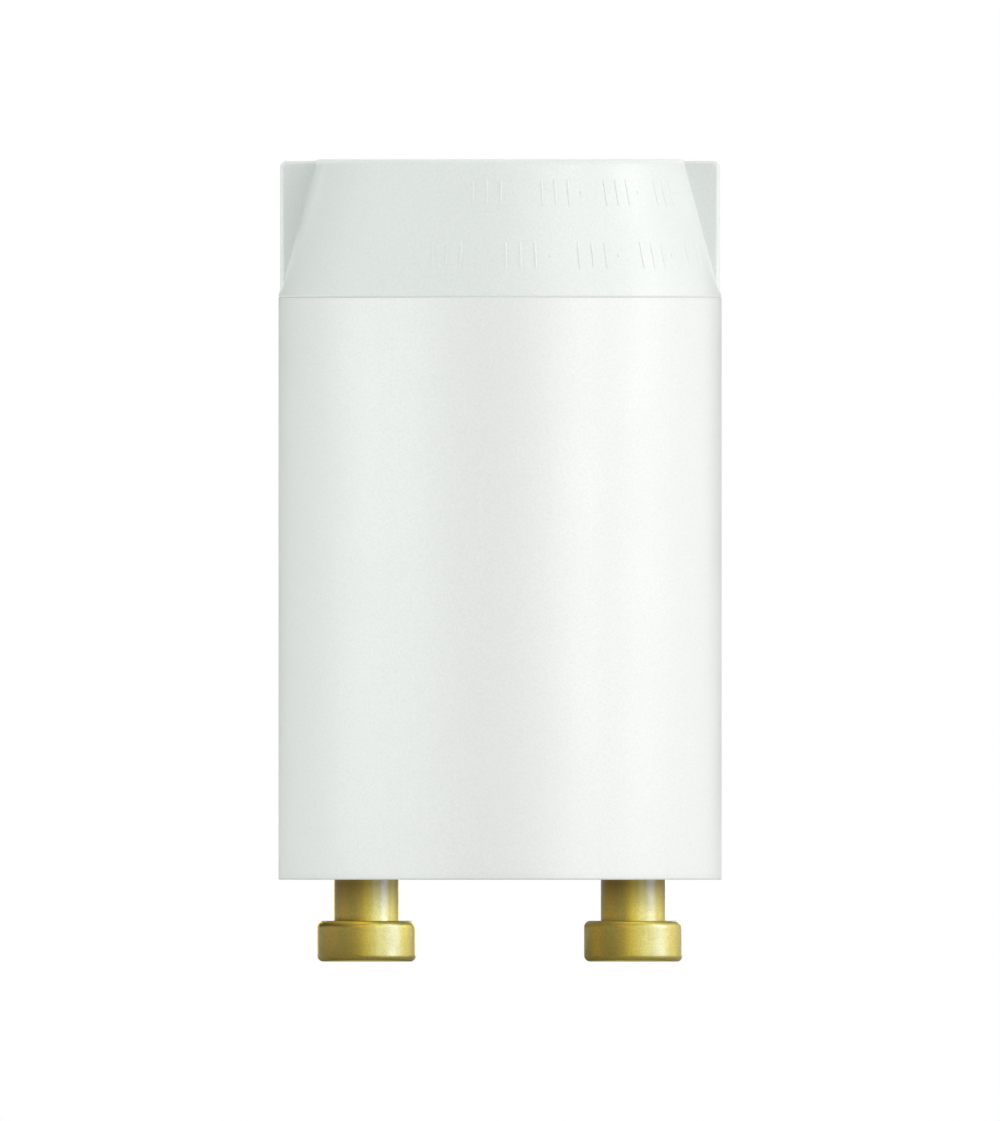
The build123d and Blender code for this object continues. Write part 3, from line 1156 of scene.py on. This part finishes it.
def light_plastic(strength):
    """Lamps for all but the pins."""
    lamps = [top_lamp("plastic_top", PLASTIC_TOP_POWER * strength, TOP_LIGHT)]
    for number, (angle, low, high, power) in enumerate(PLASTIC_LAMPS + BACK_LAMPS):
        colour = LEFT_LIGHT if angle < 0 else RIGHT_LIGHT
        lamp = side_lamp(f"plastic_{number}", angle, low, high, power * strength, colour)
        lamp.visible_glossy = number < len(PLASTIC_LAMPS)
        lamps.append(lamp)
    all_but_pins = linked("all_but_the_pins", PINS, "EXCLUDE")
    for lamp in lamps:
        lamp.light_linking.receiver_collection = all_but_pins


def brightest_and_tint(powers):
    """Highest of the powers in red, green and blue, and the colour that gives the others with it."""
    brightest = max(powers)
    return brightest, tuple(power / brightest for power in powers)


def light_pins(strength):
    """Lamps for each pin by itself, which nothing shades."""
    no_shade = linked("no_shade", PINS + ("housing", "base_disc"), "EXCLUDE")
    for side, pin in enumerate(PINS):
        lamps = []
        for number, (angle, low, high, *powers) in enumerate(PIN_LAMPS):
            power, colour = brightest_and_tint(powers[side])
            name = f"{pin}_{number}"
            lamps.append(side_lamp(name, angle, low, high, power * strength, colour))
        power, colour = brightest_and_tint(PIN_TOP_POWERS[side])
        lamps.append(top_lamp(f"{pin}_top", power * strength, colour))
        only_this = linked(f"only_{pin}", (pin,), "INCLUDE")
        for lamp in lamps:
            lamp.light_linking.receiver_collection = only_this
            lamp.light_linking.blocker_collection = no_shade


# Operators


def dress(material, *node_names):
    """Gives CAD nodes their finish."""
    for name in node_names:
        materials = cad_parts[name].data.materials
        materials.clear()
        materials.append(material)


class STARTER_OT_stage(bpy.types.Operator):
    """Sets up the camera, the floor and the lights"""

    bl_idname = "starter.stage"
    bl_label = "Stage"

    def execute(self, context):
        settings = context.scene.starter_stage
        context.scene.view_settings.view_transform = "Standard"
        add_camera(settings)
        add_floor()
        light_plastic(settings.plastic_light)
        light_pins(settings.brass_light)
        for card in CARDS:
            add_card(*card)
        add_world(settings)
        return {"FINISHED"}


class STARTER_OT_housing(bpy.types.Operator):
    """Finishes the moulded can with its cap and fins"""

    bl_idname = "starter.housing"
    bl_label = "Can"

    def execute(self, context):
        settings = context.scene.starter_plastic
        white, cap_white = tuple(settings.white), tuple(settings.cap_white)
        dress(satin_plastic("White moulded plastic", white, cap_white), "housing")
        return {"FINISHED"}


class STARTER_OT_cap_marks(bpy.types.Operator):
    """Sets the rows of raised bars and dots on the cap"""

    bl_idname = "starter.cap_marks"
    bl_label = "Cap marks"

    def execute(self, context):
        settings = context.scene.starter_marks
        finish = bpy.data.materials["White moulded plastic"]
        tree = marks_tree()
        meshes = []
        for level, first, places in MARK_ROWS:
            values = {
                "Places": places,
                "First angle": math.radians(first),
                "Pitch": settings.pitch,
                "Level": level,
                "Radius": CAN_RADIUS - (level - PARTING_LEVEL) * math.tan(CAP_SLOPE),
                "Slope": CAP_SLOPE,
                "Bar width": settings.bar_width,
                "Bar length": settings.bar_length,
                "Relief": settings.relief,
                "Finish": finish,
            }
            meshes.append(grown(tree, "marks", values))
        marks = joined("cap_marks", meshes, finish)
        link(marks)
        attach(marks, "root")
        return {"FINISHED"}


class STARTER_OT_base_disc(bpy.types.Operator):
    """Finishes the base disc that closes the can"""

    bl_idname = "starter.base_disc"
    bl_label = "Base disc"

    def execute(self, context):
        white = tuple(context.scene.starter_plastic.base_white)
        dress(satin_plastic("Base plastic", white), "base_disc")
        return {"FINISHED"}


class STARTER_OT_contact_pins(bpy.types.Operator):
    """Finishes the two turned contact pins"""

    bl_idname = "starter.contact_pins"
    bl_label = "Contact pins"

    def execute(self, context):
        dress(turned_brass(), *PINS)
        return {"FINISHED"}


class STARTER_OT_glow_bulb(bpy.types.Operator):
    """Finishes the glow bulb: its glass, wires and both contacts"""

    bl_idname = "starter.glow_bulb"
    bl_label = "Glow bulb"

    def execute(self, context):
        settings = context.scene.starter_inside
        glass, wire = tuple(settings.glass), tuple(settings.wire)
        bimetal, nickel = tuple(settings.bimetal), tuple(settings.nickel)
        blown = clear_glass("Blown glass", glass, roughness=0.01)
        pressed = clear_glass("Pressed glass", scaled(glass, PRESSED_GLASS), roughness=0.06)
        dress(blown, "glow_bulb_envelope")
        dress(pressed, "glow_bulb_stem")
        leads = drawn_metal("Lead wire", wire, 0.32, WIRE_STREAK, HEATED_WIRE)
        strip = drawn_metal("Bimetal strip", bimetal, 0.3, STRIP_STREAK, HEATED_STRIP)
        electrode = drawn_metal("Nickel strip", nickel, 0.27, STRIP_STREAK)
        dress(leads, "bulb_lead_left", "bulb_lead_right")
        dress(strip, "bimetal_strip")
        dress(electrode, "fixed_electrode")
        return {"FINISHED"}


class STARTER_OT_capacitor(bpy.types.Operator):
    """Finishes the capacitor, its tinned wires and the solder in the pins"""

    bl_idname = "starter.capacitor"
    bl_label = "Capacitor"

    def execute(self, context):
        settings = context.scene.starter_inside
        resin, tin = tuple(settings.resin), tuple(settings.tin)
        dress(dipped_resin("Dipped resin", resin), "capacitor")
        wires = drawn_metal("Tinned wire", tin, 0.25, WIRE_STREAK)
        dress(wires, "capacitor_lead_left", "capacitor_lead_right")
        drops = drawn_metal("Solder", scaled(tin, DULL_SOLDER), 0.2, SOLDER_STREAK, OLD_FLUX)
        dress(drops, "solder_left", "solder_right")
        return {"FINISHED"}


OPERATORS = (
    STARTER_OT_stage,
    STARTER_OT_housing,
    STARTER_OT_cap_marks,
    STARTER_OT_base_disc,
    STARTER_OT_contact_pins,
    STARTER_OT_glow_bulb,
    STARTER_OT_capacitor,
)


class STARTER_PT_panel(bpy.types.Panel):
    """Lists the pieces of the starter and their settings"""

    bl_idname = "STARTER_PT_panel"
    bl_label = "Fluorescent starter"
    bl_space_type = "VIEW_3D"
    bl_region_type = "UI"
    bl_category = "Starter"

    def draw(self, context):
        layout = self.layout
        for operator in OPERATORS:
            layout.operator(operator.bl_idname)
        for name, group in GROUPS.items():
            box = layout.box()
            box.label(text=group.__doc__)
            for setting in group.__annotations__:
                box.prop(getattr(context.scene, name), setting)


CLASSES = (*GROUPS.values(), *OPERATORS, STARTER_PT_panel)


def register():
    for cls in CLASSES:
        bpy.utils.register_class(cls)
    for name, group in GROUPS.items():
        setattr(bpy.types.Scene, name, PointerProperty(type=group))


def unregister():
    for name in GROUPS:
        delattr(bpy.types.Scene, name)
    for cls in reversed(CLASSES):
        bpy.utils.unregister_class(cls)


def main():
    register()
    bpy.ops.starter.stage()
    bpy.ops.starter.housing()
    bpy.ops.starter.cap_marks()
    bpy.ops.starter.base_disc()
    bpy.ops.starter.contact_pins()
    bpy.ops.starter.glow_bulb()
    bpy.ops.starter.capacitor()


if __name__ == "__main__":
    main()
